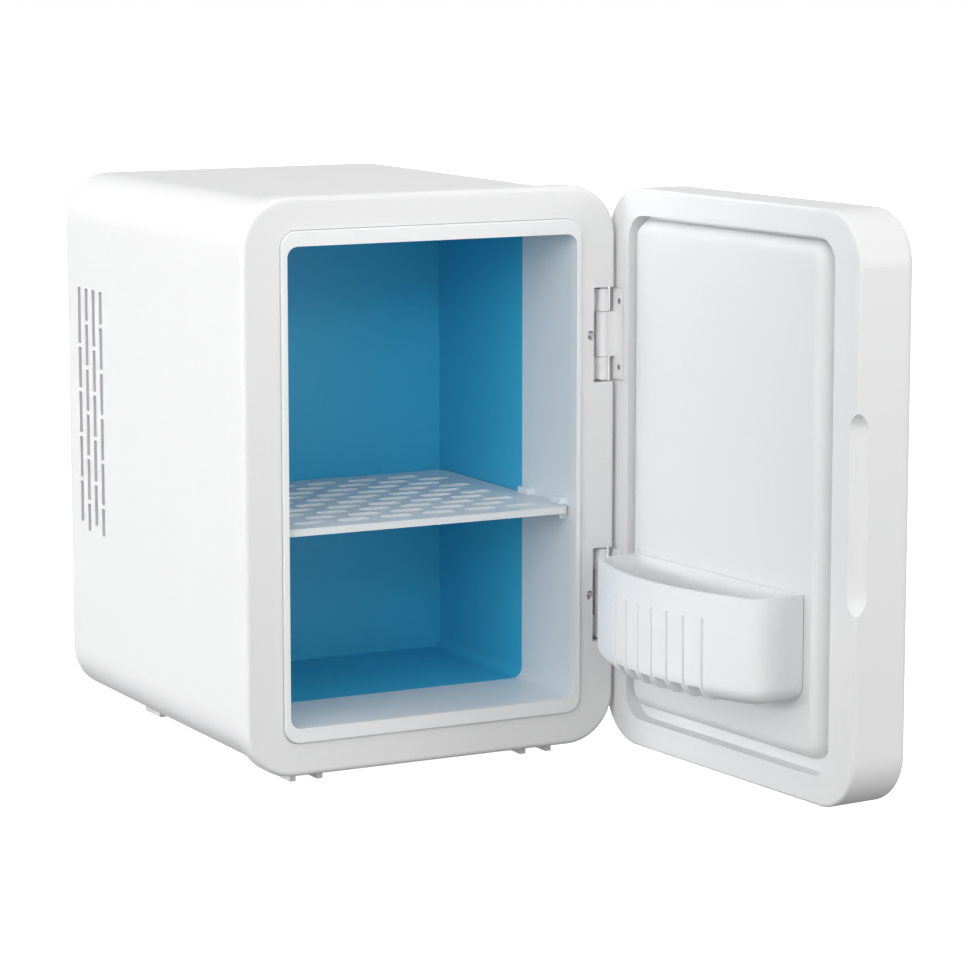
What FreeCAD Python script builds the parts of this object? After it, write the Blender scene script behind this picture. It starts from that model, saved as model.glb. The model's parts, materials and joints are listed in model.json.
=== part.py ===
import FreeCAD, Part, Sketcher
import math
import os

# A small thermoelectric (Peltier) fridge: a moulded cabinet with a hinged door, a door basket,
# one sliding shelf, and a cooling unit behind the back of the cold box.
#
# Every piece is modelled in the cabinet's own frame: x across, y from the front frame's face (0)
# to the back, z up from the surface that the feet stand on.  The door and what rides on it are
# modelled closed, then turned about the hinge pins to the open rest position.  At the end all
# pieces are shifted together so that the origin lies under the middle of the open fridge.

doc = FreeCAD.newDocument("MiniFridge")
sheet = doc.addObject("Spreadsheet::Sheet", "Dimensions")
sheet.Label = "dimensions"

# Driving dimensions, in millimetres and degrees.
DIMENSIONS = [
    ("cabinet_width", 184.0), ("cabinet_height", 255.0), ("cabinet_depth", 218.0),
    ("foot_height", 5.0),
    # front frame
    ("frame_thickness", 10.0), ("frame_corner", 23.0), ("frame_proud", 2.2), ("frame_wall", 4.0),
    ("frame_edge", 2.5),
    # outer shell
    ("shell_wall", 2.5), ("shell_rear_round", 10.0),
    # opening, its raised rim, and the liner collar behind it
    ("opening_width", 142.5), ("opening_height", 211.8), ("opening_corner", 5.0),
    ("opening_sill", 21.8), ("rim_side", 2.7), ("rim_top", 6.8), ("rim_proud", 1.5),
    ("rim_corner", 7.5), ("rim_flange", 3.0), ("liner_wall", 2.5), ("collar_depth", 54.0),
    ("fit_gap", 0.2),
    # aluminium cold box
    ("cavity_depth", 134.0), ("cold_wall", 1.2), ("cold_overlap", 4.0),
    # insulation and cooling unit
    ("foam_back", 150.0), ("block_side", 42.0), ("block_width", 76.0), ("module_side", 40.0),
    ("module_thickness", 4.0),
    ("unit_height", 148.0), ("sink_side", 90.0), ("sink_base", 4.0), ("fin_height", 20.0),
    ("fin_thickness", 1.2), ("fin_count", 15), ("fan_side", 80.0), ("fan_depth", 20.0),
    ("fan_bore", 37.0), ("fan_tip_gap", 1.0), ("hub_radius", 13.0), ("blade_count", 7),
    ("shaft_radius", 1.5), ("shaft_clearance", 0.05),
    # rear cover
    ("cover_width", 150.0), ("cover_height", 200.0), ("cover_ledge", 5.0),
    ("cover_thickness", 2.4), ("cover_recess", 1.2), ("cover_corner", 8.0),
    ("grille_radius", 34.0), ("grille_pitch", 6.0), ("grille_slot", 3.2),
    ("screw_radius", 1.5), ("screw_head", 3.0),
    # side vents
    ("vent_columns", 4), ("vent_column_pitch", 8.9), ("vent_front", 168.4), ("vent_low", 82.5),
    ("vent_high", 200.8), ("vent_pitch", 21.5), ("vent_bridge", 2.0), ("vent_slot", 3.6),
    ("vent_first_long", 28.6), ("vent_first_short", 17.2),
    # shelf
    ("shelf_underside", 106.5), ("shelf_thickness", 3.2), ("shelf_side_gap", 0.8),
    ("shelf_front", 3.0), ("shelf_back_gap", 5.0), ("lug_reach", 3.4), ("lug_height", 3.0),
    ("lug_gap", 0.4), ("lug_length", 9.0), ("shelf_slot_length", 16.0), ("shelf_slot_width", 7.0),
    ("shelf_slot_pitch_x", 21.0), ("shelf_slot_pitch_y", 11.0),
    # hinges
    ("hinge_inset", 4.5), ("hinge_depth", 4.0), ("knuckle_radius", 2.95), ("pin_radius", 1.2),
    ("pin_clearance", 0.05), ("hinge_height", 41.0), ("hinge_low", 68.4), ("hinge_high", 187.3),
    ("middle_knuckle", 20.6), ("knuckle_gap", 0.3), ("leaf_thickness", 1.5),
    ("leaf_reach", 6.5), ("door_leaf_reach", 7.8), ("leaf_recess", 0.7),
    ("hinge_pocket_gap", 0.2), ("hinge_pocket_clearance", 0.05), ("hinge_pocket_margin", 1.0),
    ("hinge_screw_head", 1.25), ("hinge_screw_shank", 0.6), ("hinge_screw_end", 5.5),
    ("hinge_screw_length", 3.5), ("hinge_port_width", 3.0), ("hinge_port_height", 4.4),
    ("hinge_port_depth", 8.5),
    # door
    ("door_gap", 2.0), ("door_thickness", 29.0), ("door_drop", 1.0), ("door_panel", 3.0),
    ("door_wall", 2.5), ("door_edge", 4.0), ("door_inner_edge", 1.5), ("door_open", 94.5),
    ("channel_left", 17.0), ("channel_right", 16.5), ("channel_low", 12.5),
    ("channel_high", 242.0), ("channel_depth", 7.0), ("channel_corner", 11.0),
    ("plug_left", 24.5), ("plug_right", 18.5), ("plug_low", 18.0), ("plug_high", 240.0),
    ("plug_corner", 9.5), ("plug_edge", 6.0), ("plug_wall", 2.0),
    ("grip_low", 85.0), ("grip_high", 171.0), ("grip_reach", 5.8), ("grip_radius", 9.0),
    ("grip_margin", 3.0),
    # door basket
    ("basket_centre", 96.0), ("basket_width", 122.0), ("basket_low", 43.0),
    ("basket_high", 89.5), ("basket_side", 24.0), ("basket_bow", 38.0), ("basket_wall", 1.8),
    ("basket_corner", 9.0), ("basket_base_round", 8.0), ("basket_back_gap", 0.4),
    ("rib_count", 7), ("rib_pitch", 10.5), ("rib_offset", -2.5), ("rib_width", 1.2),
    ("rib_proud", 0.8), ("hook_spacing", 70.0), ("hook_width", 8.0), ("hook_drop", 6.0),
    ("hook_thickness", 1.8), ("basket_lift", 10.0),
    # feet
    ("foot_inset", 26.1), ("foot_width", 16.0), ("foot_length", 18.0), ("foot_fin", 2.8),
    ("foot_base", 1.5), ("foot_front", 12.0), ("foot_rear", 160.0),
    # magnets
    ("magnet_length", 60.0), ("magnet_width", 7.0), ("magnet_thickness", 3.0),
    # switch and sockets on the rear cover
    ("switch_width", 20.0), ("switch_height", 14.0), ("switch_depth", 16.0),
    ("rocker_throw", 9.0), ("socket_row", 36.0),
]
for row, (alias, value) in enumerate(DIMENSIONS, start=1):
    sheet.set(f"A{row}", alias)
    sheet.set(f"B{row}", str(value))
    sheet.setAlias(f"B{row}", alias)
doc.recompute()


def size(alias):
    """A driving dimension, read from the sheet."""
    return float(getattr(sheet, alias))


V = FreeCAD.Vector
X_AXIS, Y_AXIS, Z_AXIS = V(1, 0, 0), V(0, 1, 0), V(0, 0, 1)

# Sizes and places that several pieces share, worked out from the driving dimensions.
half_width = size("cabinet_width") / 2
cabinet_base = size("foot_height")
cabinet_top = cabinet_base + size("cabinet_height")
shell_half = half_width - size("frame_proud")
shell_base = cabinet_base + size("frame_proud")
shell_top = cabinet_top - size("frame_proud")
shell_corner = size("frame_corner") - size("frame_proud")
opening_half = size("opening_width") / 2
opening_base = cabinet_base + size("opening_sill")
opening_top = opening_base + size("opening_height")
rim_half = opening_half + size("rim_side")
rim_base = opening_base - size("rim_top")
rim_top = opening_top + size("rim_top")
hinge_x = half_width - size("hinge_inset")
hinge_y = size("hinge_depth")
pocket_side = hinge_x - size("leaf_reach") - size("hinge_pocket_gap")
pocket_depth = hinge_y + size("knuckle_radius") + size("hinge_pocket_clearance")
knuckle_side = hinge_x - size("knuckle_radius") - 0.6
cabinet_leaf_back = hinge_y + size("knuckle_radius")
cabinet_leaf_front = cabinet_leaf_back - size("leaf_thickness")
cabinet_screw_x = (hinge_x - size("leaf_reach") + knuckle_side) / 2
hinge_heights = {"lower": cabinet_base + size("hinge_low"), "upper": cabinet_base + size("hinge_high")}
shelf_base = cabinet_base + size("shelf_underside")
shelf_depth = size("cavity_depth") - size("shelf_front") - size("shelf_back_gap")
unit_z = cabinet_base + size("unit_height")
cold_back = size("cavity_depth") + size("cold_wall")
module_front = size("foam_back")
sink_front = module_front + size("module_thickness")
fan_front = sink_front + size("sink_base") + size("fin_height")
shell_back = size("cabinet_depth")
cover_front = shell_back - size("cover_recess")
cover_back = cover_front + size("cover_thickness")
cover_z = (shell_base + shell_top) / 2
door_inner = -size("door_gap")
door_outer = door_inner - size("door_thickness")
door_base = cabinet_base
door_top = cabinet_top - size("door_drop")
panel_front = door_inner - size("door_panel")
channel_floor = door_inner - size("channel_depth")
pan_front = channel_floor - size("plug_wall")
plug_face = door_inner


# ---------------------------------------------------------------- helpers

def role_plane(body, role):
    """One of a body's own origin planes."""
    return next(f for f in body.Origin.OriginFeatures if f.Role == role)


def add_rectangle(body, name, role, width, height, offset):
    """A fully constrained rectangle centred on `offset` of an origin plane.

    `width` and `height` are expressions over the sheet; `offset` is a point in the plane's own
    axes, its third number being the height above the plane.
    """
    sketch = body.newObject("Sketcher::SketchObject", name)
    sketch.AttachmentSupport = [(role_plane(body, role), "")]
    sketch.MapMode = "FlatFace"
    sketch.AttachmentOffset = FreeCAD.Placement(V(*offset), FreeCAD.Rotation())
    corners = [V(-10, -10, 0), V(10, -10, 0), V(10, 10, 0), V(-10, 10, 0)]
    for i in range(4):
        sketch.addGeometry(Part.LineSegment(corners[i], corners[(i + 1) % 4]), False)
    for i in range(4):
        sketch.addConstraint(Sketcher.Constraint("Coincident", i, 2, (i + 1) % 4, 1))
    for i, kind in enumerate(("Horizontal", "Vertical", "Horizontal", "Vertical")):
        sketch.addConstraint(Sketcher.Constraint(kind, i))
    sketch.addConstraint(Sketcher.Constraint("Symmetric", 0, 1, 1, 2, -1, 1))
    across = sketch.addConstraint(Sketcher.Constraint("DistanceX", 0, 1, 0, 2, 20.0))
    sketch.renameConstraint(across, "across")
    upward = sketch.addConstraint(Sketcher.Constraint("DistanceY", 1, 1, 1, 2, 20.0))
    sketch.renameConstraint(upward, "upward")
    sketch.setExpression("Constraints.across", width)
    sketch.setExpression("Constraints.upward", height)
    return sketch


def straight_edges(shape, axis, keep=lambda point: True):
    """The names of a shape's straight edges along an axis whose middle passes `keep`."""
    names = []
    for number, edge in enumerate(shape.Edges, start=1):
        if edge.Curve.TypeId != "Part::GeomLine":
            continue
        along = edge.Curve.Direction
        if abs(abs(along.dot(axis)) - 1) < 1e-6 and keep(edge.CenterOfMass):
            names.append(f"Edge{number}")
    return names


def edges_near_y(shape, y, keep=lambda point: True):
    """The names of the edges that lie in the plane at y."""
    names = []
    for number, edge in enumerate(shape.Edges, start=1):
        box = edge.BoundBox
        if abs(box.YMin - y) < 1e-4 and abs(box.YMax - y) < 1e-4 and keep(edge.CenterOfMass):
            names.append(f"Edge{number}")
    return names


def add_fillet(body, name, base, edges, radius):
    """Round some edges of a body's last feature; `radius` is an expression."""
    fillet = body.newObject("PartDesign::Fillet", name)
    fillet.Base = (base, edges)
    fillet.setExpression("Radius", radius)
    body.Tip = fillet
    doc.recompute()
    return fillet


def rounded_plate(label, width, height, length, front, centre_x, centre_z, corner):
    """A body: an upright rounded rectangle padded towards the back from `front`."""
    body = doc.addObject("PartDesign::Body", label)
    sketch = add_rectangle(body, label + "_outline", "XZ_Plane", width, height,
                           (centre_x, centre_z, -front))
    pad = body.newObject("PartDesign::Pad", label + "_pad")
    pad.Profile = sketch
    pad.Reversed = True
    pad.setExpression("Length", length)
    doc.recompute()
    add_fillet(body, label + "_corners", pad, straight_edges(pad.Shape, Y_AXIS), corner)
    return body


def cut_window(body, name, width, height, depth, front, centre_x, centre_z, corner=None):
    """Pocket an upright rectangle into a body, from `front` towards the back."""
    before = body.Shape.Volume
    sketch = add_rectangle(body, name + "_outline", "XZ_Plane", width, height,
                           (centre_x, centre_z, -front))
    pocket = body.newObject("PartDesign::Pocket", name)
    pocket.Profile = sketch
    pocket.setExpression("Length", depth)
    body.Tip = pocket
    doc.recompute()
    if body.Shape.Volume > before - 1.0:
        raise RuntimeError(f"{name} cut nothing")
    if corner:
        half_w, half_h = sketch.Shape.BoundBox.XLength / 2, sketch.Shape.BoundBox.ZLength / 2

        def at_corner(point):
            return (abs(abs(point.x - centre_x) - half_w) < 1e-4
                    and abs(abs(point.z - centre_z) - half_h) < 1e-4)

        add_fillet(body, name + "_corners", pocket,
                   straight_edges(pocket.Shape, Y_AXIS, at_corner), corner)
    return pocket


def box(x0, x1, y0, y1, z0, z1):
    """A box between two corners."""
    return Part.makeBox(x1 - x0, y1 - y0, z1 - z0, V(x0, y0, z0))


def rounded_box(x0, x1, y0, y1, z0, z1, radius, axis=Y_AXIS):
    """A box whose edges along `axis` are rounded."""
    solid = box(x0, x1, y0, y1, z0, z1)
    edges = [e for e in solid.Edges if abs(abs(e.Curve.Direction.dot(axis)) - 1) < 1e-6]
    return solid.makeFillet(radius, edges)


def cylinder(radius, start, end):
    """A cylinder between two points."""
    along = end - start
    return Part.makeCylinder(radius, along.Length, start, along)


def fuse_all(solids):
    """One shape from several touching solids."""
    joined = solids[0]
    for solid in solids[1:]:
        joined = joined.fuse(solid)
    return joined.removeSplitter()


def feature(label, shape):
    """A document object that holds a finished shape."""
    item = doc.addObject("Part::Feature", label)
    item.Shape = shape
    item.Label = label
    return item


def cut(label, base, tool):
    """A parametric cut of one document object by another."""
    item = doc.addObject("Part::Cut", label)
    item.Base, item.Tool = base, tool
    item.Label = label
    return item


def tool_of(label, shapes):
    """A hidden helper object that holds cutting or adding shapes."""
    return feature(label, Part.makeCompound(shapes))


def bound_box(label, lengths, corner):
    """A Part::Box with its three sides bound to the sheet."""
    item = doc.addObject("Part::Box", label)
    for side, expression in zip(("Length", "Width", "Height"), lengths):
        item.setExpression(side, expression)
    item.Placement.Base = V(*corner)
    return item


# ---------------------------------------------------------------- cabinet

def vent_slots():
    """The staggered columns of upright slots near the back of both sides."""
    slots = []
    half_slot = size("vent_slot") / 2
    low, high = cabinet_base + size("vent_low"), cabinet_base + size("vent_high")
    for column in range(int(size("vent_columns"))):
        y = size("vent_front") + column * size("vent_column_pitch")
        top = high
        bottom = high - size("vent_first_long" if column % 2 else "vent_first_short")
        while top - low > size("vent_bridge") * 2:
            bottom = max(bottom, low)
            for side in (-1, 1):
                wall = sorted((side * (shell_half + 1), side * (shell_half - size("shell_wall") - 1)))
                slots.append(box(wall[0], wall[1], y - half_slot, y + half_slot,
                                 bottom + size("vent_bridge") / 2, top - size("vent_bridge") / 2))
            top = bottom
            bottom = top - size("vent_pitch")
    return slots


def cover_screw_places():
    """The four places where the rear cover is screwed on."""
    x = size("cover_width") / 2 - size("cover_ledge") / 2 - 1.5
    z = size("cover_height") / 2 - size("cover_ledge") * 3
    return [(sx * x, cover_z + sz * z) for sx in (-1, 1) for sz in (-1, 1)]


def make_cabinet_shell():
    """The outer case: a rounded box, open at the front, with a window for the rear cover."""
    front = size("frame_thickness")
    shell = rounded_plate(
        "cabinet_case",
        "dimensions.cabinet_width - 2 * dimensions.frame_proud",
        "dimensions.cabinet_height - 2 * dimensions.frame_proud",
        "dimensions.cabinet_depth - dimensions.frame_thickness",
        front, 0, (shell_base + shell_top) / 2, "dimensions.frame_corner - dimensions.frame_proud")
    rim = edges_near_y(shell.Shape, shell_back)
    add_fillet(shell, "cabinet_case_rear_round", shell.Tip, rim, "dimensions.shell_rear_round")
    wall = size("shell_wall")
    inset = size("shell_rear_round")
    rear_room = rounded_box(-shell_half + inset, shell_half - inset, shell_back - inset - 1,
                            shell_back - wall, shell_base + inset, shell_top - inset,
                            shell_corner - wall)
    window = rounded_box(-size("cover_width") / 2 + size("cover_ledge"),
                         size("cover_width") / 2 - size("cover_ledge"), shell_back - wall - 1,
                         shell_back + 1, cover_z - size("cover_height") / 2 + size("cover_ledge"),
                         cover_z + size("cover_height") / 2 - size("cover_ledge"),
                         size("cover_corner") - 2)
    gap = size("fit_gap")
    recess = rounded_box(-size("cover_width") / 2 - gap, size("cover_width") / 2 + gap,
                         cover_front, shell_back + 1, cover_z - size("cover_height") / 2 - gap,
                         cover_z + size("cover_height") / 2 + gap, size("cover_corner"))
    main_room = rounded_box(-shell_half + wall, shell_half - wall, front - 1, shell_back - inset,
                            shell_base + wall, shell_top - wall, shell_corner - wall)
    hollow = cut("cabinet_hollow", shell,
                 tool_of("cabinet_hollow_tool", [fuse_all([main_room, rear_room])]))
    bosses = [cylinder(3.4, V(x, shell_back - wall - 8, z), V(x, shell_back - 1.5, z))
              for x, z in cover_screw_places()]
    bossed = doc.addObject("Part::MultiFuse", "cabinet_bossed")
    bossed.Shapes = [hollow] + [feature(f"cover_boss_{i}", b) for i, b in enumerate(bosses)]
    pilots = [cylinder(size("screw_radius"), V(x, shell_back - wall - 7, z), V(x, shell_back + 1, z))
              for x, z in cover_screw_places()]
    openings = fuse_all([window.cut(Part.makeCompound(bosses)), recess])
    return cut("cabinet_shell", bossed,
               tool_of("cabinet_shell_tool", [openings] + pilots + vent_slots()))


def hinge_pockets(extra=0.0):
    """The two corner pockets in the front frame, open to the front and to the side."""
    reach = size("hinge_height") / 2 + size("hinge_pocket_margin") + extra
    return [box(pocket_side - extra, half_width + 1, -1, pocket_depth + extra,
                z - reach, z + reach) for z in hinge_heights.values()]


def hinge_ports():
    """The small blind oval port beside each hinge pocket, half way up the hinge."""
    half_height = size("hinge_port_height") / 2
    return [rounded_box(pocket_side - size("hinge_port_width"), pocket_side, -1,
                        size("hinge_port_depth"), z - half_height, z + half_height,
                        size("hinge_port_width") / 2 - 0.01) for z in hinge_heights.values()]


def make_front_frame():
    """The moulded front frame: a rounded ring, hollow from behind, with the hinge pockets."""
    centre_z = (cabinet_base + cabinet_top) / 2
    frame = rounded_plate("frame_plate", "dimensions.cabinet_width", "dimensions.cabinet_height",
                          "dimensions.frame_thickness", 0, 0, centre_z, "dimensions.frame_corner")
    add_fillet(frame, "frame_plate_edge", frame.Tip, edges_near_y(frame.Shape, 0),
               "dimensions.frame_edge")
    cut_window(
        frame, "frame_opening",
        "dimensions.opening_width + 2 * (dimensions.rim_side + dimensions.fit_gap)",
        "dimensions.opening_height + 2 * (dimensions.rim_top + dimensions.fit_gap)",
        "dimensions.frame_thickness + 1", -0.5, 0, (rim_base + rim_top) / 2,
        "dimensions.rim_corner + dimensions.fit_gap")
    wall = size("frame_wall")
    depth = size("frame_thickness")
    outer = rounded_box(-half_width + wall, half_width - wall, wall, depth + 1,
                        cabinet_base + wall, cabinet_top - wall, size("frame_corner") - wall)
    inner = rounded_box(-rim_half - wall, rim_half + wall, wall - 1, depth + 2,
                        rim_base - wall, rim_top + wall, size("rim_corner") + wall)
    back_room = outer.cut(inner)
    for block in hinge_pockets(extra=2.0):
        back_room = back_room.cut(block)
    room_tool = tool_of("frame_back_room", [back_room])
    hollow = cut("frame_hollow", frame, room_tool)
    pilots = []
    for z in hinge_heights.values():
        for dz in hinge_screw_offsets():
            pilots.append(cylinder(size("hinge_screw_shank") + 0.05, V(cabinet_screw_x, 0, z + dz),
                                   V(cabinet_screw_x, depth - 0.5, z + dz)))
    return cut("front_frame", hollow,
               tool_of("frame_pocket_tool", hinge_pockets() + hinge_ports() + pilots))


def hinge_screw_offsets():
    """Heights of a hinge leaf's screws above the hinge's middle."""
    reach = size("hinge_height") / 2 - size("hinge_screw_end")
    return (-reach, reach)


def shelf_lugs():
    """Pairs of lugs on the collar's side walls, one under and one over the shelf."""
    lugs = []
    under = (shelf_base - size("lug_height") - size("lug_gap") / 2, shelf_base - size("lug_gap") / 2)
    shelf_top = shelf_base + size("shelf_thickness")
    over = (shelf_top + size("lug_gap") / 2, shelf_top + size("lug_gap") / 2 + size("lug_height"))
    for front in (8.0, size("collar_depth") - size("lug_length") - 6.0):
        for low, high in (under, over):
            for side in (-1, 1):
                ends = sorted((side * (opening_half - size("lug_reach")), side * (opening_half + 1)))
                lugs.append(box(ends[0], ends[1], front, front + size("lug_length"), low, high))
    return lugs


def make_inner_liner():
    """The plastic collar: a raised rim round the opening and the first part of the walls."""
    length = "dimensions.rim_proud + dimensions.rim_flange"
    centre_z = (opening_base + opening_top) / 2
    rim = rounded_plate("liner_rim", "dimensions.opening_width + 2 * dimensions.rim_side",
                        "dimensions.opening_height + 2 * dimensions.rim_top", length,
                        -size("rim_proud"), 0, centre_z, "dimensions.rim_corner")
    add_fillet(rim, "liner_rim_edge", rim.Tip, edges_near_y(rim.Shape, -size("rim_proud")),
               "dimensions.rim_proud * 0.6")
    cut_window(rim, "liner_mouth", "dimensions.opening_width", "dimensions.opening_height",
               length + " + 1", -size("rim_proud") - 0.5, 0, centre_z,
               "dimensions.opening_corner")
    wall = size("liner_wall")
    back = size("collar_depth")
    tube = rounded_box(-opening_half - wall, opening_half + wall, size("rim_flange") - 0.5, back,
                       opening_base - wall, opening_top + wall, size("opening_corner") + wall)
    hole = rounded_box(-opening_half, opening_half, -5, back + 1, opening_base, opening_top,
                       size("opening_corner"))
    step = size("cold_wall") + 0.1
    rebate = rounded_box(-opening_half - step, opening_half + step, back - size("cold_overlap"),
                         back + 1, opening_base - step, opening_top + step,
                         size("opening_corner") + step)
    walls = tube.cut(hole).cut(rebate)
    collar = doc.addObject("Part::MultiFuse", "inner_liner")
    parts = [feature("liner_walls", walls)]
    parts += [feature(f"shelf_lug_{i}", lug) for i, lug in enumerate(shelf_lugs())]
    collar.Shapes = [rim] + parts
    collar.Label = "inner_liner"
    return collar


def make_cold_box():
    """The aluminium tank behind the collar that the cooling block chills."""
    front = size("collar_depth") - size("cold_overlap")
    centre_z = (opening_base + opening_top) / 2
    tank = rounded_plate("cold_box_block", "dimensions.opening_width + 2 * dimensions.cold_wall",
                         "dimensions.opening_height + 2 * dimensions.cold_wall",
                         "dimensions.cavity_depth + dimensions.cold_wall - dimensions.collar_depth"
                         " + dimensions.cold_overlap", front, 0, centre_z,
                         "dimensions.opening_corner + dimensions.cold_wall")
    room = rounded_box(-opening_half, opening_half, front - 1, size("cavity_depth"),
                       opening_base, opening_top, size("opening_corner"))
    return cut("cold_box", tank, tool_of("cold_box_room", [room]))


def make_cabinet_insulation():
    """The foam between the shell and the liner, with a window for the cooling block."""
    gap = size("fit_gap")
    inset = size("shell_wall") + gap
    outer = rounded_box(-shell_half + inset, shell_half - inset, size("frame_thickness") + gap,
                        size("foam_back"), shell_base + inset, shell_top - inset,
                        shell_corner - inset)
    around = size("liner_wall") + gap
    collar = rounded_box(-opening_half - around, opening_half + around, 0,
                         size("collar_depth") + gap, opening_base - around, opening_top + around,
                         size("opening_corner") + around)
    skin = size("cold_wall") + gap
    tank = rounded_box(-opening_half - skin, opening_half + skin, 5, cold_back + gap,
                       opening_base - skin, opening_top + skin, size("opening_corner") + skin)
    reach = size("block_side") / 2 + gap
    side = size("block_width") / 2 + gap
    window = box(-side, side, cold_back - 5, size("foam_back") + 1, unit_z - reach, unit_z + reach)
    frame_room = hinge_pockets(extra=2.0 + gap)
    foam = outer.cut(collar).cut(tank).cut(window)
    for block in frame_room:
        foam = foam.cut(block)
    return feature("cabinet_insulation", foam)


def make_feet():
    """Four moulded feet, each a base plate with two runners."""
    feet = []
    for end, y in (("front", size("foot_front")), ("rear", size("foot_rear"))):
        for side, word in ((-1, "left"), (1, "right")):
            label = f"foot_{end}_{word}"
            outer_x = side * (half_width - size("foot_inset"))
            inner_x = outer_x - side * size("foot_width")
            low, high = min(outer_x, inner_x), max(outer_x, inner_x)
            body = doc.addObject("PartDesign::Body", label)
            plate = body.newObject("PartDesign::AdditiveBox", label + "_plate")
            plate.setExpression("Length", "dimensions.foot_width")
            plate.setExpression("Width", "dimensions.foot_length")
            plate.setExpression("Height", "dimensions.foot_base")
            plate.Placement = FreeCAD.Placement(V(low, y, shell_base - size("foot_base")),
                                                FreeCAD.Rotation())
            for name, x in (("outer", low), ("inner", high - size("foot_fin"))):
                fin = body.newObject("PartDesign::AdditiveBox", f"{label}_{name}")
                fin.setExpression("Length", "dimensions.foot_fin")
                fin.setExpression("Width", "dimensions.foot_length")
                fin.setExpression("Height", "dimensions.foot_height + dimensions.frame_proud")
                fin.Placement = FreeCAD.Placement(V(x, y, 0), FreeCAD.Rotation())
            body.Tip = fin
            feet.append(body)
    return feet


# ---------------------------------------------------------------- cooling unit

def make_cooling_block():
    """The aluminium block that carries heat from the cold box to the module."""
    reach = size("block_side") / 2
    block = bound_box("cooling_block_bar", ("dimensions.block_width",
                      "dimensions.foam_back - dimensions.cavity_depth - dimensions.cold_wall",
                      "dimensions.block_side"), (-size("block_width") / 2, cold_back, unit_z - reach))
    threads = [cylinder(size("screw_radius"), V(x, module_front - 10, z), V(x, module_front + 1, z))
               for x, z in clamp_places()]
    return cut("cooling_block", block, tool_of("cooling_block_threads", threads))


def make_peltier_module():
    """The thermoelectric module, clamped between the block and the heat sink."""
    reach = size("module_side") / 2
    return bound_box("peltier_module", ("dimensions.module_side", "dimensions.module_thickness",
                     "dimensions.module_side"), (-reach, module_front, unit_z - reach))


def clamp_places():
    """The two screws that pull the heat sink onto the cooling block."""
    return [(sign * (size("block_width") / 2 - 6), unit_z) for sign in (-1, 1)]


def make_heat_sink():
    """The hot side's finned aluminium sink."""
    half = size("sink_side") / 2
    fins_front = sink_front + size("sink_base")
    fins_back = fins_front + size("fin_height")
    solids = [box(-half, half, sink_front, fins_front, unit_z - half, unit_z + half)]
    count = int(size("fin_count"))
    pitch = (size("sink_side") - size("fin_thickness")) / (count - 1)
    for i in range(count):
        x = -half + i * pitch
        solids.append(box(x, x + size("fin_thickness"), fins_front - 0.5, fins_back,
                          unit_z - half, unit_z + half))
    sink = fuse_all(solids)
    for x, z in clamp_places():
        sink = sink.cut(cylinder(4.0, V(x, fins_front, z), V(x, fins_back + 1, z)))
        sink = sink.cut(cylinder(1.6, V(x, sink_front - 1, z), V(x, fins_front + 1, z)))
    return feature("heat_sink", sink)


def make_clamp_screws():
    """The clamp screws, from the sink's base into the cooling block."""
    screws = []
    top = sink_front + size("sink_base")
    for x, z in clamp_places():
        shank = cylinder(size("screw_radius") - 0.05, V(x, module_front - 9, z), V(x, top, z))
        head = cylinder(3.0, V(x, top, z), V(x, top + 2.2, z))
        screws.append(shank.fuse(head))
    return feature("clamp_screws", Part.makeCompound(screws))


def make_fan_housing():
    """The fan's square frame, with a round duct, four struts and the motor's bearing seat."""
    half = size("fan_side") / 2
    back = fan_front + size("fan_depth")
    frame = rounded_box(-half, half, fan_front, back, unit_z - half, unit_z + half, 5.0)
    duct = cylinder(size("fan_bore"), V(0, fan_front - 1, unit_z), V(0, back + 1, unit_z))
    solids = [frame.cut(duct)]
    strut_front = back - 3.0
    seat = cylinder(size("hub_radius"), V(0, strut_front, unit_z), V(0, back, unit_z))
    solids.append(seat)
    for k in range(4):
        strut = box(size("hub_radius") - 2, size("fan_bore") + 1.0, strut_front, back,
                    unit_z - 1.6, unit_z + 1.6)
        strut.rotate(V(0, 0, unit_z), Y_AXIS, 45 + 90 * k)
        solids.append(strut)
    housing = fuse_all(solids)
    bore = size("shaft_radius") + size("shaft_clearance")
    housing = housing.cut(cylinder(bore, V(0, strut_front - 1, unit_z), V(0, back - 0.8, unit_z)))
    corner = half - 4.5
    for sx in (-1, 1):
        for sz in (-1, 1):
            x, z = sx * corner, unit_z + sz * corner
            housing = housing.cut(cylinder(2.1, V(x, fan_front - 1, z), V(x, back + 1, z)))
    return feature("fan_housing", housing)


def make_fan_rotor():
    """The impeller: a hub with pitched blades, and its steel shaft."""
    back = fan_front + size("fan_depth")
    hub_back = back - 3.0 - 0.6
    hub_front = fan_front + 2.0
    hub = cylinder(size("hub_radius") - 0.5, V(0, hub_front, unit_z), V(0, hub_back, unit_z))
    tip = size("fan_bore") - size("fan_tip_gap")
    ring = cylinder(tip, V(0, hub_front, unit_z), V(0, hub_back, unit_z))
    solids = [hub]
    count = int(size("blade_count"))
    middle = (hub_front + hub_back) / 2
    for k in range(count):
        blade = box(size("hub_radius") - 3, tip + 2, -0.8, 0.8, -11.0, 11.0)
        blade.rotate(V(0, 0, 0), X_AXIS, 52)
        blade.translate(V(0, middle, unit_z))
        blade.rotate(V(0, middle, unit_z), Y_AXIS, 360.0 * k / count)
        solids.append(blade.common(ring))
    shaft = cylinder(size("shaft_radius"), V(0, hub_back - 4, unit_z), V(0, back - 1.0, unit_z))
    return feature("fan_rotor", fuse_all(solids + [shaft]))


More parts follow.
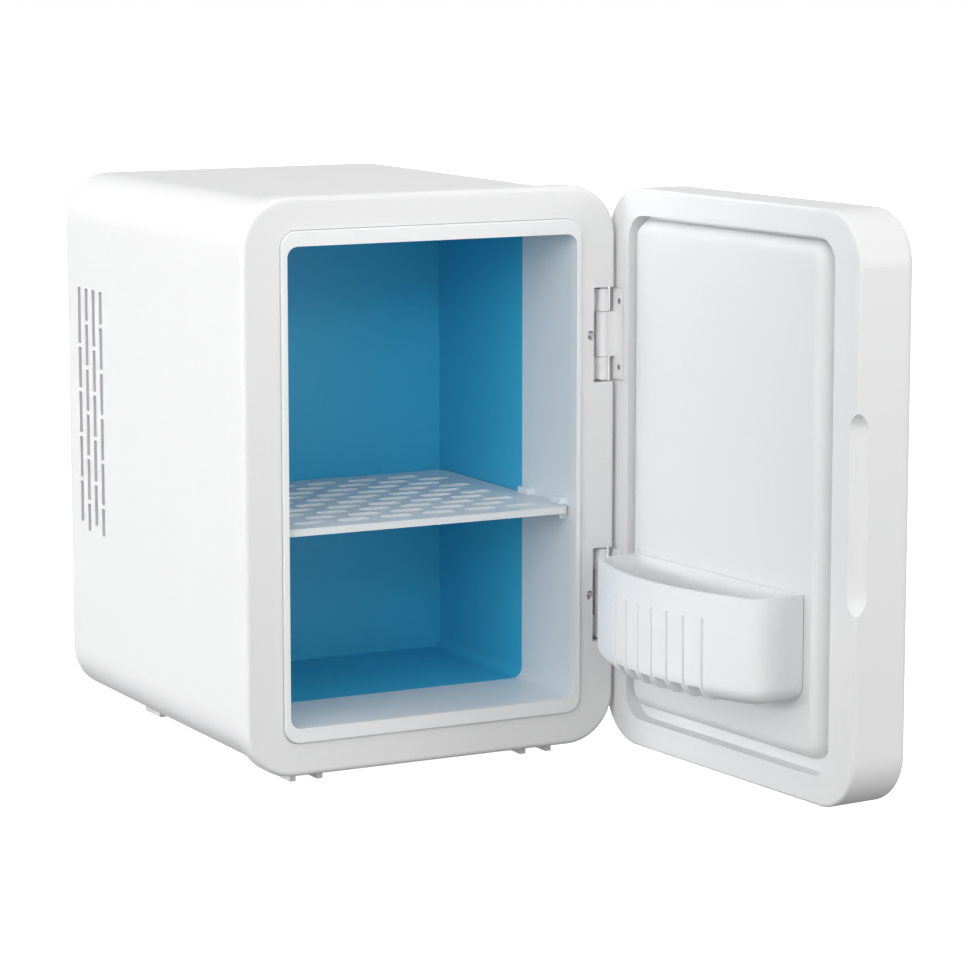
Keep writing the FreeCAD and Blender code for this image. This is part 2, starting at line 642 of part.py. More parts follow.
def make_fan_screws():
    """Four long screws that hold the fan to the heat sink."""
    corner = size("fan_side") / 2 - 4.5
    back = fan_front + size("fan_depth")
    screws = []
    for sx in (-1, 1):
        for sz in (-1, 1):
            x, z = sx * corner, unit_z + sz * corner
            shank = cylinder(1.7, V(x, fan_front - 4.0, z), V(x, back, z))
            screws.append(shank.fuse(cylinder(3.2, V(x, back, z), V(x, back + 2.0, z))))
    return feature("fan_screws", Part.makeCompound(screws))


# ---------------------------------------------------------------- rear cover and electrics

def socket_z():
    """The height of the row of sockets and the switch."""
    return cover_z - size("cover_height") / 2 + size("socket_row") / 2 + 4


def socket_places():
    """Where the three rear openings sit across the cover: name, x, width, height."""
    return {"mode_switch": (-44.0, size("switch_width"), size("switch_height")),
            "dc_socket": (0.0, 18.0, 12.0), "ac_inlet": (44.0, 24.0, 14.0)}


def make_rear_cover():
    """The screwed-on back panel with the fan grille and the three socket openings."""
    cover = rounded_plate("rear_cover_plate", "dimensions.cover_width", "dimensions.cover_height",
                          "dimensions.cover_thickness", cover_front, 0, cover_z,
                          "dimensions.cover_corner")
    add_fillet(cover, "rear_cover_edge", cover.Tip, edges_near_y(cover.Shape, cover_back), "0.8")
    radius = size("grille_radius")
    holes = []
    steps = int(radius / size("grille_pitch"))
    for k in range(-steps, steps + 1):
        z = k * size("grille_pitch")
        half = math.sqrt(max(radius ** 2 - z ** 2, 0)) - 1.5
        if half < 3:
            continue
        for side in (-1, 1):
            ends = sorted((side * 1.5, side * half))
            holes.append(box(ends[0], ends[1], cover_front - 1, cover_back + 1,
                             unit_z + z - size("grille_slot") / 2,
                             unit_z + z + size("grille_slot") / 2))
    for x, width, height in socket_places().values():
        grow = size("fit_gap")
        holes.append(box(x - width / 2 - grow, x + width / 2 + grow, cover_front - 1,
                         cover_back + 1, socket_z() - height / 2 - grow,
                         socket_z() + height / 2 + grow))
    for x, z in cover_screw_places():
        holes.append(cylinder(size("screw_radius") + 0.1, V(x, cover_front - 1, z),
                              V(x, cover_back + 1, z)))
    return cut("rear_cover", cover, tool_of("rear_cover_tool", holes))


def make_cover_screws():
    """The four pan-head screws of the rear cover."""
    screws = []
    for x, z in cover_screw_places():
        shank = cylinder(size("screw_radius") - 0.05, V(x, shell_back - 8, z), V(x, cover_back, z))
        head = cylinder(size("screw_head"), V(x, cover_back, z), V(x, cover_back + 1.8, z))
        slot = fuse_all([box(x - 1.8, x + 1.8, cover_back + 1.0, cover_back + 2, z - 0.35, z + 0.35),
                         box(x - 0.35, x + 0.35, cover_back + 1.0, cover_back + 2, z - 1.8, z + 1.8)])
        screws.append(shank.fuse(head).cut(slot))
    return feature("rear_cover_screws", Part.makeCompound(screws))


def socket_shell(name, depth, wall):
    """A rectangular socket body with a bezel that laps over the cover."""
    x, width, height = socket_places()[name]
    z = socket_z()
    body = box(x - width / 2, x + width / 2, cover_back - depth, cover_back + 1.0,
               z - height / 2, z + height / 2)
    bezel = rounded_box(x - width / 2 - 1.5, x + width / 2 + 1.5, cover_back, cover_back + 1.2,
                        z - height / 2 - 1.5, z + height / 2 + 1.5, 1.5)
    cavity = box(x - width / 2 + wall, x + width / 2 - wall, cover_back - depth + wall,
                 cover_back + 5, z - height / 2 + wall, z + height / 2 - wall)
    return body.fuse(bezel).cut(cavity)


def make_socket(name, pin_radius, pin_gap):
    """A power socket with two pins."""
    depth, wall = 16.0, 1.5
    x = socket_places()[name][0]
    shell = socket_shell(name, depth, wall)
    pins = [cylinder(pin_radius, V(x + s * pin_gap / 2, cover_back - depth + wall / 2, socket_z()),
                     V(x + s * pin_gap / 2, cover_back - 6.0, socket_z())) for s in (-1, 1)]
    return feature(name, fuse_all([shell] + pins))


def make_switch_housing():
    """The frame that the mode rocker tilts in, with its pivot."""
    x, width, height = socket_places()["mode_switch"]
    z = socket_z()
    shell = socket_shell("mode_switch", size("switch_depth"), 1.5)
    pivot = cylinder(1.0, V(x, cover_back - 4.0, z - height / 2 + 0.5),
                     V(x, cover_back - 4.0, z + height / 2 - 0.5))
    return feature("switch_housing", fuse_all([shell, pivot]))


def make_mode_rocker():
    """The three-way cool / off / warm rocker."""
    x, width, height = socket_places()["mode_switch"]
    z = socket_z()
    pivot_y = cover_back - 4.0
    gap = 0.5
    half_w = width / 2 - 1.5 - 1.3
    half_h = height / 2 - 1.5 - gap
    cap = box(x - half_w, x + half_w, pivot_y - 3.0, cover_back + 0.6, z - half_h, z + half_h)
    for side in (-1, 1):
        wedge = box(-20, 20, 0, 10, z - height, z + height)
        wedge.rotate(V(0, 0, 0), Z_AXIS, -side * 12)
        wedge.translate(V(x, cover_back + 1.9, 0))
        near, far = min(x, x + side * 30), max(x, x + side * 30)
        cap = cap.cut(wedge.common(box(near, far, -10, 400, 0, 400)))
    barrel = cylinder(2.6, V(x, pivot_y, z - half_h), V(x, pivot_y, z + half_h))
    rocker = cap.fuse(barrel).cut(
        cylinder(1.05, V(x, pivot_y, z - height), V(x, pivot_y, z + height)))
    return feature("mode_rocker", rocker)


def make_control_board():
    """The power and switching board, with its larger components."""
    z0 = shell_base + size("shell_wall") + 12.0
    y0, y1 = size("foam_back") + 10.0, size("foam_back") + 45.0
    board = box(-62, 20, y0, y1, z0, z0 + 1.6)
    parts = [board,
             box(-58, -40, y0 + 4, y0 + 22, z0 + 1.5, z0 + 17.0),
             box(-34, -24, y0 + 5, y0 + 15, z0 + 1.5, z0 + 9.0)]
    for x, y in ((-34.0, y0 + 24), (-20.0, y0 + 24), (-6.0, y0 + 24)):
        parts.append(cylinder(4.5, V(x, y, z0 + 1.5), V(x, y, z0 + 16.0)))
    return feature("control_board", fuse_all(parts))


def make_board_posts():
    """The four posts that hold the board above the case's floor."""
    z0 = shell_base + size("shell_wall")
    y0, y1 = size("foam_back") + 10.0, size("foam_back") + 45.0
    posts = [cylinder(2.5, V(x, y, z0), V(x, y, z0 + 12.0))
             for x in (-58.0, 16.0) for y in (y0 + 3.5, y1 - 3.5)]
    return feature("board_posts", Part.makeCompound(posts))


# ---------------------------------------------------------------- shelf

def make_shelf():
    """The shelf: a moulded plate with staggered rows of long slots."""
    half = opening_half - size("shelf_side_gap")
    front = size("shelf_front")
    body = doc.addObject("PartDesign::Body", "shelf_plate")
    centre_y = front + shelf_depth / 2
    sketch = add_rectangle(body, "shelf_outline", "XY_Plane",
                           "dimensions.opening_width - 2 * dimensions.shelf_side_gap",
                           "dimensions.cavity_depth - dimensions.shelf_front"
                           " - dimensions.shelf_back_gap", (0, centre_y, shelf_base))
    pad = body.newObject("PartDesign::Pad", "shelf_pad")
    pad.Profile = sketch
    pad.setExpression("Length", "dimensions.shelf_thickness")
    doc.recompute()
    add_fillet(body, "shelf_corners", pad, straight_edges(pad.Shape, Z_AXIS), "4")
    slots = []
    length, width = size("shelf_slot_length"), size("shelf_slot_width")
    rows = int((shelf_depth - 16.0) / size("shelf_slot_pitch_y"))
    for row in range(rows):
        y = front + 10.0 + row * size("shelf_slot_pitch_y")
        shift = size("shelf_slot_pitch_x") / 2 * (row % 2)
        count = int((2 * half - 12.0 - shift) / size("shelf_slot_pitch_x"))
        for k in range(count):
            x = (k - (count - 1) / 2) * size("shelf_slot_pitch_x")
            slots.append(rounded_box(x - length / 2, x + length / 2, y, y + width,
                                     shelf_base - 1, shelf_base + size("shelf_thickness") + 1,
                                     width / 2 - 0.01, Z_AXIS))
    return cut("shelf", body, tool_of("shelf_slots", slots))


# ---------------------------------------------------------------- hinges

def knuckle_spans(z):
    """The three knuckles of a hinge: low, middle and high, as pairs of heights."""
    half, middle, gap = size("hinge_height") / 2, size("middle_knuckle") / 2, size("knuckle_gap")
    return ((z - half, z - middle - gap / 2), (z - middle + gap / 2, z + middle - gap / 2),
            (z + middle + gap / 2, z + half))


def screw_seats(x, z, face, back):
    """The holes for one leaf's screws, sunk into its face; `back` is the leaf's far side."""
    into = math.copysign(1.0, back - face)
    seats = []
    for dz in hinge_screw_offsets():
        seats.append(cylinder(size("hinge_screw_shank") + 0.15, V(x, face - into, z + dz),
                              V(x, back + into, z + dz)))
        seats.append(cylinder(size("hinge_screw_head") + 0.1, V(x, face - into, z + dz),
                              V(x, face + into * 0.7, z + dz)))
    return seats


def make_cabinet_leaf(place, z):
    """The hinge leaf in the frame's pocket, with the two outer knuckles."""
    half = size("hinge_height") / 2
    front, back = cabinet_leaf_front, cabinet_leaf_back
    solids = [box(hinge_x - size("leaf_reach"), knuckle_side, front, back, z - half, z + half)]
    spans = knuckle_spans(z)
    for low, high in (spans[0], spans[2]):
        solids.append(box(knuckle_side - 0.5, hinge_x, front, back, low, high))
        solids.append(cylinder(size("knuckle_radius"), V(hinge_x, hinge_y, low),
                               V(hinge_x, hinge_y, high)))
    bore = size("pin_radius") + size("pin_clearance")
    holes = [cylinder(bore, V(hinge_x, hinge_y, z - half - 1), V(hinge_x, hinge_y, z + half + 1))]
    whole = fuse_all(solids)
    for hole in holes + screw_seats(cabinet_screw_x, z, front, back):
        whole = whole.cut(hole)
    return feature(f"hinge_{place}_cabinet_leaf", whole)


def make_door_leaf(place, z):
    """The hinge leaf on the door's inner face, with the middle knuckle."""
    half = size("hinge_height") / 2
    front = door_inner - size("leaf_recess")
    back = front + size("leaf_thickness")
    low, high = knuckle_spans(z)[1]
    leaf = box(hinge_x - size("door_leaf_reach"), hinge_x - 1.0, front, back, z - half, z + half)
    web = box(hinge_x - 2.5, hinge_x + 2.0, front, hinge_y, low, high)
    knuckle = cylinder(size("knuckle_radius"), V(hinge_x, hinge_y, low), V(hinge_x, hinge_y, high))
    bore = size("pin_radius") + size("pin_clearance")
    holes = [cylinder(bore, V(hinge_x, hinge_y, low - 1), V(hinge_x, hinge_y, high + 1))]
    whole = fuse_all([leaf, web, knuckle])
    for hole in holes + screw_seats(door_screw_x(), z, back, front):
        whole = whole.cut(hole)
    return feature(f"hinge_{place}_door_leaf", whole)


def door_screw_x():
    """How far across the door leaf's screws sit: midway from its edge to the knuckle."""
    return (hinge_x - size("door_leaf_reach") + knuckle_side) / 2


def make_hinge_pin(place, z):
    """The hinge pin, with a low head at both ends."""
    half = size("hinge_height") / 2
    pin = doc.addObject("Part::Cylinder", f"hinge_pin_{place}_shank")
    pin.setExpression("Radius", "dimensions.pin_radius")
    pin.setExpression("Height", "dimensions.hinge_height + 0.4")
    pin.Placement.Base = V(hinge_x, hinge_y, z - half - 0.2)
    heads = []
    for name, start in (("low", z - half - 0.7), ("high", z + half)):
        head = doc.addObject("Part::Cylinder", f"hinge_pin_{place}_{name}")
        head.setExpression("Radius", "dimensions.pin_radius + 0.7")
        head.Height = 0.7
        head.Placement.Base = V(hinge_x, hinge_y, start)
        heads.append(head)
    whole = doc.addObject("Part::MultiFuse", f"hinge_pin_{place}")
    whole.Shapes = [pin] + heads
    whole.Label = f"hinge_pin_{place}"
    return whole


def countersunk_screw(x, y, z, direction):
    """A small countersunk screw: its head's face at y, its shank running along direction."""
    along = V(0, direction, 0)
    head = cylinder(size("hinge_screw_head"), V(x, y, z), V(x, y, z) + along * 0.6)
    shank = cylinder(size("hinge_screw_shank"), V(x, y, z),
                     V(x, y, z) + along * size("hinge_screw_length"))
    reach = size("hinge_screw_head") * 0.6
    slot = fuse_all([box(x - reach, x + reach, y - 0.3, y + 0.3, z - 0.15, z + 0.15),
                     box(x - 0.15, x + 0.15, y - 0.3, y + 0.3, z - reach, z + reach)])
    return head.fuse(shank).cut(slot)


def make_cabinet_hinge_screws():
    """The screws of both cabinet leaves."""
    screws = [countersunk_screw(cabinet_screw_x, cabinet_leaf_front + 0.08, z + dz, 1)
              for z in hinge_heights.values() for dz in hinge_screw_offsets()]
    return feature("hinge_screws_cabinet", Part.makeCompound(screws))


def make_door_hinge_screws():
    """The screws of both door leaves."""
    back = door_inner - size("leaf_recess") + size("leaf_thickness")
    screws = [countersunk_screw(door_screw_x(), back - 0.08, z + dz, -1)
              for z in hinge_heights.values() for dz in hinge_screw_offsets()]
    return feature("hinge_screws_door", Part.makeCompound(screws))


# ---------------------------------------------------------------- door

def grip_scoop():
    """The finger scoop: a long round-ended hollow along the corner of the door's free edge."""
    radius, reach = size("grip_radius"), size("grip_reach")
    # The axis stands off the corner so that the hollow reaches equally far across both faces.
    stand_off = (math.sqrt(2 * radius ** 2 - reach ** 2) - reach) / 2
    end_reach = math.sqrt(radius ** 2 - 2 * stand_off ** 2)
    x, y = -half_width - stand_off, door_inner + stand_off
    low = cabinet_base + size("grip_low") + end_reach
    high = cabinet_base + size("grip_high") - end_reach
    return fuse_all([cylinder(radius, V(x, y, low), V(x, y, high)),
                     Part.makeSphere(radius, V(x, y, low)), Part.makeSphere(radius, V(x, y, high))])


def grip_backing(margin):
    """The block of solid plastic left behind the finger scoop."""
    reach = size("grip_reach") + margin
    return box(-half_width, -half_width + reach, door_inner - reach, panel_front + 2,
               cabinet_base + size("grip_low") - margin, cabinet_base + size("grip_high") + margin)


def make_door_shell():
    """The door's outer moulding: a deep tray with rounded front edges."""
    centre_z = (door_base + door_top) / 2
    tray = rounded_plate("door_tray", "dimensions.cabinet_width",
                         "dimensions.cabinet_height - dimensions.door_drop",
                         "dimensions.door_thickness - dimensions.door_panel", door_outer, 0,
                         centre_z, "dimensions.frame_corner")
    add_fillet(tray, "door_tray_edge", tray.Tip, edges_near_y(tray.Shape, door_outer),
               "dimensions.door_edge")
    wall = size("door_wall")
    hollow = rounded_box(-half_width + wall, half_width - wall, door_outer + wall,
                         panel_front + 1, door_base + wall, door_top - wall,
                         size("frame_corner") - wall)
    hollow = hollow.cut(grip_backing(size("grip_margin")))
    return cut("door_outer_shell", tray, tool_of("door_shell_tool", [hollow, grip_scoop()]))


def leaf_recesses():
    """The shallow seats for the door leaves in the door's inner face."""
    half = size("hinge_height") / 2 + size("hinge_pocket_margin")
    front = door_inner - size("leaf_recess")
    return [box(hinge_x - size("door_leaf_reach") - 0.4, half_width + 1, front, door_inner + 1,
                z - half, z + half) for z in hinge_heights.values()]


def channel_box(grow, front, back):
    """The outline of the channel that takes the cabinet's rim, grown by `grow`."""
    return rounded_box(-half_width + size("channel_left") - grow,
                       half_width - size("channel_right") + grow, front, back,
                       cabinet_base + size("channel_low") - grow,
                       cabinet_base + size("channel_high") + grow,
                       size("channel_corner") + grow)


def make_door_panel():
    """The door's inner moulding: a flat border round a sunk pan."""
    centre_z = (door_base + door_top) / 2
    plate = rounded_plate("door_plate", "dimensions.cabinet_width",
                          "dimensions.cabinet_height - dimensions.door_drop",
                          "dimensions.door_panel", panel_front, 0, centre_z,
                          "dimensions.frame_corner")
    add_fillet(plate, "door_plate_edge", plate.Tip, edges_near_y(plate.Shape, door_inner),
               "dimensions.door_inner_edge")
    pan = channel_box(size("plug_wall"), pan_front, door_inner - 1.0)
    holes = [cylinder(size("hinge_screw_shank") + 0.05, V(door_screw_x(), door_inner - 5, z + dz),
                      V(door_screw_x(), door_inner + 1, z + dz))
             for z in hinge_heights.values() for dz in hinge_screw_offsets()]
    panned = doc.addObject("Part::MultiFuse", "door_panned")
    panned.Shapes = [plate, feature("door_pan", pan)]
    sink = channel_box(0.0, channel_floor, door_inner + 1)
    return cut("door_inner_panel", panned,
               tool_of("door_panel_tool", [sink, grip_scoop()] + leaf_recesses() + holes))


def hook_places():
    """Where the basket's hooks sit across the door."""
    centre = size("basket_centre") - half_width
    return [centre + s * size("hook_spacing") / 2 for s in (-1, 1)]


def hook_z():
    """The height of the hooks' stems."""
    return cabinet_base + size("basket_high") - 18.0


def make_door_plug():
    """The raised inner cover on the pan, with two windows for the basket's hooks."""
    wall = size("plug_wall")
    x0, x1 = -half_width + size("plug_left"), half_width - size("plug_right")
    z0, z1 = cabinet_base + size("plug_low"), cabinet_base + size("plug_high")
    body = rounded_plate("plug_block", "dimensions.cabinet_width - dimensions.plug_left"
                         " - dimensions.plug_right", "dimensions.plug_high - dimensions.plug_low",
                         "dimensions.channel_depth", channel_floor, (x0 + x1) / 2, (z0 + z1) / 2,
                         "dimensions.plug_corner")
    add_fillet(body, "plug_block_edge", body.Tip, edges_near_y(body.Shape, plug_face),
               "dimensions.plug_edge")
    room = rounded_box(x0 + wall, x1 - wall, channel_floor - 1, plug_face - wall, z0 + wall,
                       z1 - wall, size("plug_corner") - wall)
    room = room.makeFillet(size("plug_edge") - wall,
                           [e for e in room.Edges if e.BoundBox.YMin > plug_face - wall - 0.01])
    windows = []
    for x in hook_places():
        half = size("hook_width") / 2 + 0.5
        windows.append(box(x - half, x + half, plug_face - wall - 1, plug_face + 1,
                           hook_z() - 1.0 - 0.3, hook_z() + 1.0 + size("basket_lift") + 0.5))
    return cut("door_plug_panel", body, tool_of("door_plug_tool", [room] + windows))


def make_door_insulation():
    """The foam inside the door, behind the pan."""
    gap, wall = size("fit_gap"), size("door_wall")
    foam = rounded_box(-half_width + wall + gap, half_width - wall - gap,
                       door_outer + wall + gap, pan_front - gap, door_base + wall + gap,
                       door_top - wall - gap, size("frame_corner") - wall - gap)
    return feature("door_insulation", foam.cut(grip_backing(size("grip_margin") + gap)))


def magnet_x():
    """How far across the catch magnets sit."""
    return -half_width + 5.0


def make_magnets():
    """The catch: one magnet behind the frame's face and one behind the door's border."""
    z = cabinet_base + size("grip_low") - size("magnet_length") - 8.0
    lengths = ("dimensions.magnet_width", "dimensions.magnet_thickness",
               "dimensions.magnet_length")
    frame_magnet = bound_box("frame_magnet", lengths, (magnet_x(), size("frame_wall"), z))
    door_magnet = bound_box("door_magnet", lengths,
                            (magnet_x(), panel_front - size("magnet_thickness"), z))
    return frame_magnet, door_magnet


# ---------------------------------------------------------------- basket

def basket_solid(inset):
    """The basket's outer form, or with an inset the room inside it."""
    centre = size("basket_centre") - half_width
    half = size("basket_width") / 2 - inset
    back = plug_face + size("basket_back_gap") + inset
    side = plug_face + size("basket_side") - inset
    bow = plug_face + size("basket_bow") - inset
    low = cabinet_base + size("basket_low") + inset
    high = cabinet_base + size("basket_high") + (5.0 if inset else 0.0)
    left, right = V(centre - half, side, low), V(centre + half, side, low)
    outline = Part.Wire([
        Part.LineSegment(V(centre + half, back, low), V(centre - half, back, low)).toShape(),
        Part.LineSegment(V(centre - half, back, low), left).toShape(),
        Part.Arc(left, V(centre, bow, low), right).toShape(),
        Part.LineSegment(right, V(centre + half, back, low)).toShape()])
    solid = Part.Face(outline).extrude(V(0, 0, high - low))
    uprights = [e for e in solid.Edges if e.Curve.TypeId == "Part::GeomLine"
                and abs(abs(e.Curve.Direction.z) - 1) < 1e-6 and e.CenterOfMass.y > side - 1]
    solid = solid.makeFillet(size("basket_corner") - inset, uprights)
    bottom = [e for e in solid.Edges if abs(e.BoundBox.ZMax - low) < 1e-4
              and e.CenterOfMass.y > back + 1]
    return solid.makeFillet(size("basket_base_round") - inset, bottom)


def bow_y(x):
    """The y of the basket's bowed front at a distance x from its middle."""
    half = size("basket_width") / 2
    rise = size("basket_bow") - size("basket_side")
    radius = (half ** 2 + rise ** 2) / (2 * rise)
    return plug_face + size("basket_bow") - radius + math.sqrt(radius ** 2 - x ** 2)


def make_basket():
    """The bow-fronted door basket with ribs, drain slots and two hooks."""
    centre = size("basket_centre") - half_width
    basket = basket_solid(0.0)
    low = cabinet_base + size("basket_low")
    high = cabinet_base + size("basket_high")
    ribs, slots = [], []
    count = int(size("rib_count"))
    for k in range(count):
        offset = size("rib_offset") + (k - (count - 1) / 2) * size("rib_pitch")
        front = bow_y(offset) + size("rib_proud")
        half = size("rib_width") / 2
        x = centre + offset
        rib = box(x - half, x + half, front - 16, front, low - size("rib_proud"), high - 11.0)
        lower = [e for e in rib.Edges if abs(e.BoundBox.ZMax - low + size("rib_proud")) < 1e-4
                 and abs(e.CenterOfMass.y - front) < 1e-4]
        ribs.append(rib.makeFillet(size("basket_base_round"), lower))
        if k:
            middle = x - size("rib_pitch") / 2
            inner = size("rib_pitch") / 2 - 1.6
            slots.append(box(middle - inner, middle + inner, bow_y(offset) - 26, front + 2,
                             low - 2, low + 5.0))
    room = basket_solid(size("basket_wall"))
    shell = basket.fuse(Part.makeCompound(ribs)).cut(room)
    for slot in slots:
        shell = shell.cut(slot)
    hooks = []
    stem_back = plug_face - size("plug_wall") - 0.6
    for x in hook_places():
        half = size("hook_width") / 2
        hooks.append(box(x - half, x + half, stem_back - size("hook_thickness"),
                         plug_face + size("basket_back_gap") + 0.5, hook_z() - 1.0, hook_z() + 1.0))
        hooks.append(box(x - half, x + half, stem_back - size("hook_thickness"), stem_back,
                         hook_z() - size("hook_drop"), hook_z() + 1.0))
    return feature("door_basket", fuse_all([shell] + hooks))


# ---------------------------------------------------------------- assembly

frame_magnet, door_magnet = make_magnets()
cabinet_pieces = [
    make_cabinet_shell(), make_front_frame(), make_inner_liner(), make_cold_box(),
    make_cabinet_insulation(), *make_feet(), make_cooling_block(), make_peltier_module(),
    make_heat_sink(), make_clamp_screws(), make_fan_housing(), make_fan_screws(),
    make_fan_rotor(), make_rear_cover(), make_cover_screws(), make_socket("dc_socket", 1.2, 6.0),
    make_socket("ac_inlet", 1.2, 8.0), make_switch_housing(), make_mode_rocker(),
    make_control_board(), make_board_posts(), make_shelf(), make_cabinet_hinge_screws(),
    frame_magnet,
]
door_pieces = [
    make_door_shell(), make_door_panel(), make_door_plug(), make_door_insulation(), door_magnet,
    make_door_hinge_screws(), make_basket(),
]
for place, z in hinge_heights.items():
    cabinet_pieces.append(make_cabinet_leaf(place, z))
    cabinet_pieces.append(make_hinge_pin(place, z))
    door_pieces.append(make_door_leaf(place, z))
doc.recompute()

# The door swings about the pins; the whole is shifted so that the origin is under its middle.
swing = FreeCAD.Placement(V(0, 0, 0), FreeCAD.Rotation(Z_AXIS, size("door_open")),
                          V(hinge_x, hinge_y, 0))
bounds = FreeCAD.BoundBox()
for piece in cabinet_pieces:
    bounds.add(piece.Shape.BoundBox)
for piece in door_pieces:
    piece.Placement = swing.multiply(piece.Placement)
    bounds.add(piece.Shape.BoundBox)
shift = FreeCAD.Placement(V(-bounds.Center.x, -bounds.Center.y, 0), FreeCAD.Rotation())
for piece in cabinet_pieces + door_pieces:
    piece.Placement = shift.multiply(piece.Placement)
doc.recompute()

faults = [item.Label for item in doc.Objects if {"Invalid", "Error"} & set(item.State)]
for piece in cabinet_pieces + door_pieces:
    if piece.Shape.isNull() or not piece.Shape.isValid() or not piece.Shape.Solids:
        faults.append(piece.Label)
if faults:
    raise RuntimeError(f"failed objects: {faults}")

os.makedirs("parts", exist_ok=True)
for piece in cabinet_pieces + door_pieces:
    piece.Shape.exportStep(f"parts/{piece.Label}.step")
print(len(cabinet_pieces + door_pieces), "pieces; shift", shift.Base, "hinge", hinge_x, hinge_y)
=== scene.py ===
import json
import math

import bpy
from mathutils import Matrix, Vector


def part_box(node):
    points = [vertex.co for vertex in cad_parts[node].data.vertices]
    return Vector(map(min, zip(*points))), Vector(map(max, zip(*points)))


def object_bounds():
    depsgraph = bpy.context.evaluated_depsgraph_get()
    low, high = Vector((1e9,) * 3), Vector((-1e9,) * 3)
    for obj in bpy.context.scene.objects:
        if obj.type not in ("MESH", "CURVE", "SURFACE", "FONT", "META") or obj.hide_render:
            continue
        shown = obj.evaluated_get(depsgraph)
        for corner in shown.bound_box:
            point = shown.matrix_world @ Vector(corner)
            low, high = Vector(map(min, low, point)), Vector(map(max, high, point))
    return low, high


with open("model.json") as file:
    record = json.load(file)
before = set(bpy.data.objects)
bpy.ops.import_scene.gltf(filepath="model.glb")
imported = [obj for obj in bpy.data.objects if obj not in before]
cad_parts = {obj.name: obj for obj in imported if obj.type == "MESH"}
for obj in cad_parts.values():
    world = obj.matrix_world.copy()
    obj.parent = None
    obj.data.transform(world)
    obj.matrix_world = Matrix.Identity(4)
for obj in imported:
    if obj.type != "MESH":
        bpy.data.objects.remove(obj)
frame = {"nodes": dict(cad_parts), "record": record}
cad_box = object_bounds()

# The looks of a small thermoelectric fridge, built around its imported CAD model.  Metres throughout.

# The camera: its place from the front frame's lowest front left corner, its lens and its turn.
CAMERA_OFFSET = (-0.6279, -1.4136, 0.3733)
CAMERA_LENS = 134.6
CAMERA_DOWN, CAMERA_TURN = 8.905, -27.80
# How bright the surround is straight up, level and straight down.
WORLD_ABOVE, WORLD_LEVEL, WORLD_BELOW = 0.85, 0.64, 0.02
# Each softbox: name, place and aim as offsets from the cabinet's middle, side, spread and power.
SOFTBOXES = [
    ("left", (-1.5, 0.15, 0.25), (0.0, 0.03, 0.0), 0.5, 16, 0.33),
    ("front_high", (-0.45, -1.3, 0.55), (0.05, -0.1, 0.16), 0.3, 20, 0.05),
    ("front_left", (-1.6, -1.2, 0.7), (0.0, 0.0, 0.0), 1.2, 180, 11.6),
    ("door_side", (0.9, -1.4, 0.3), (0.1, -0.15, 0.0), 0.6, 180, 5.0),
    ("door_high", (-1.3, -0.8, 0.6), (0.1, -0.2, 0.12), 0.3, 16, 0.012),
]
WHITE = (1, 1, 1, 1)
FLOOR_REACH = 6.0
# A Mix node's sockets for two colours and their result, whose names other sockets share.
MIX_FIRST, MIX_SECOND, MIX_RESULT = 6, 7, 2
# How far behind the front the liner has turned from white to pale blue.
LINER_TURN = 0.006
LINER_RIM, LINER_INSIDE = (0.88, 0.885, 0.89), (0.80, 0.855, 0.885)
CASE_WHITE = (0.83, 0.83, 0.832)
NODES = frame["nodes"]
FRONT_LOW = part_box("front_frame")[0]


# ---------------------------------------------------------------- camera, floor and light

def make_camera():
    """The camera, placed from the front frame's lower left front corner."""
    data = bpy.data.cameras.new("camera")
    data.sensor_fit = "HORIZONTAL"
    data.sensor_width = 36.0
    data.lens = CAMERA_LENS
    camera = bpy.data.objects.new("camera", data)
    camera.location = Vector(FRONT_LOW) + Vector(CAMERA_OFFSET)
    camera.rotation_euler = (math.radians(90 - CAMERA_DOWN), 0.0, math.radians(CAMERA_TURN))
    bpy.context.scene.collection.objects.link(camera)
    bpy.context.scene.camera = camera


def make_floor():
    """A plain white floor under the feet. It glows evenly, so it carries no shadow."""
    low = cad_box[0][2]
    mesh = bpy.data.meshes.new("floor")
    reach = FLOOR_REACH
    mesh.from_pydata([(-reach, -reach, low), (reach, -reach, low), (reach, reach, low),
                      (-reach, reach, low)], [], [(0, 1, 2, 3)])
    floor = bpy.data.objects.new("floor", mesh)
    bpy.context.scene.collection.objects.link(floor)
    material, shader = new_material("floor")
    shader.inputs["Base Color"].default_value = (0.9, 0.9, 0.9, 1)
    shader.inputs["Roughness"].default_value = 0.8
    shader.inputs["Emission Color"].default_value = WHITE
    shader.inputs["Emission Strength"].default_value = 1.0
    mesh.materials.append(material)
    floor.visible_diffuse = False
    floor.visible_glossy = False
    floor.visible_shadow = False


def add_softbox(name, location, target, side, spread_angle, power):
    """A square softbox that faces a target point."""
    data = bpy.data.lights.new(name, "AREA")
    data.shape = "RECTANGLE"
    data.size = data.size_y = side
    data.energy = power
    data.spread = math.radians(spread_angle)
    light = bpy.data.objects.new(name, data)
    light.location = location
    direction = Vector(target) - Vector(location)
    light.rotation_euler = direction.to_track_quat("-Z", "Y").to_euler()
    bpy.context.scene.collection.objects.link(light)


